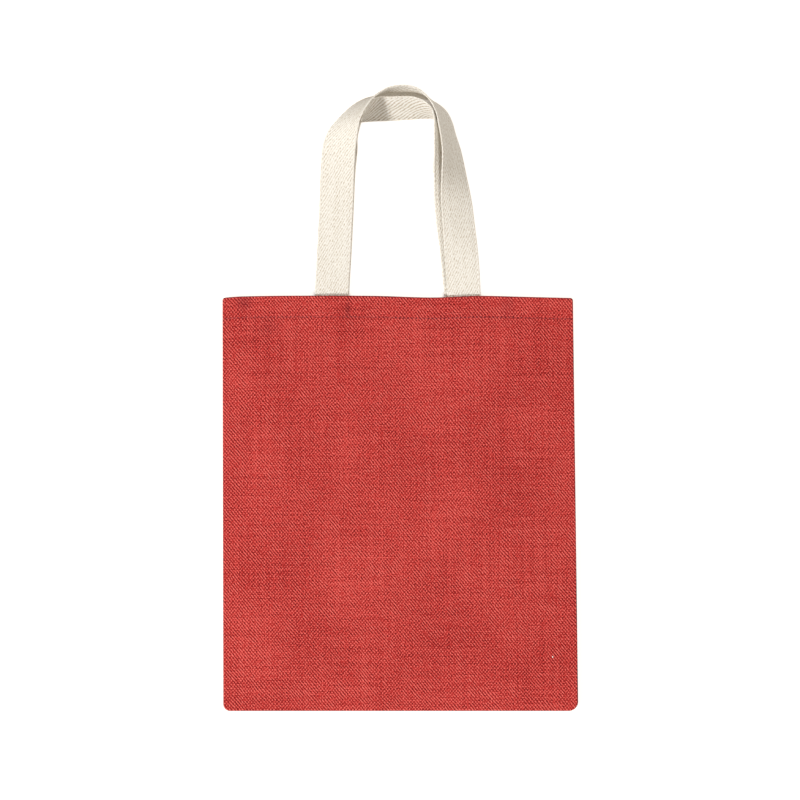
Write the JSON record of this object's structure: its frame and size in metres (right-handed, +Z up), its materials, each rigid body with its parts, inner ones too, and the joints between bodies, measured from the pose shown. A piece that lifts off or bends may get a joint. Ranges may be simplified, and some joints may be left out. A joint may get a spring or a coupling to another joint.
{
  "type": "burlap tote bag",
  "caption": "Flat burlap tote bag lying empty on its back, open at its hemmed mouth, with cotton webbing handles that arch up above it.",
  "frame": {"origin": "on the surface, under the middle of the back panel", "axes": "+Z up from the surface, +Y towards the mouth and the handles, +X towards the bag's right as seen from above"},
  "size_m": [0.3615, 0.6312, 0.0453],
  "materials": {
    "burlap": "red-dyed plain-weave burlap, matt and slightly uneven",
    "webbing": "cream cotton twill webbing, matt",
    "thread": "red sewing thread"
  },
  "bodies": {
    "root": {"front_panel": "burlap", "back_panel": "burlap", "front_handle": "webbing", "back_handle": "webbing"}
  },
  "joints": []
}
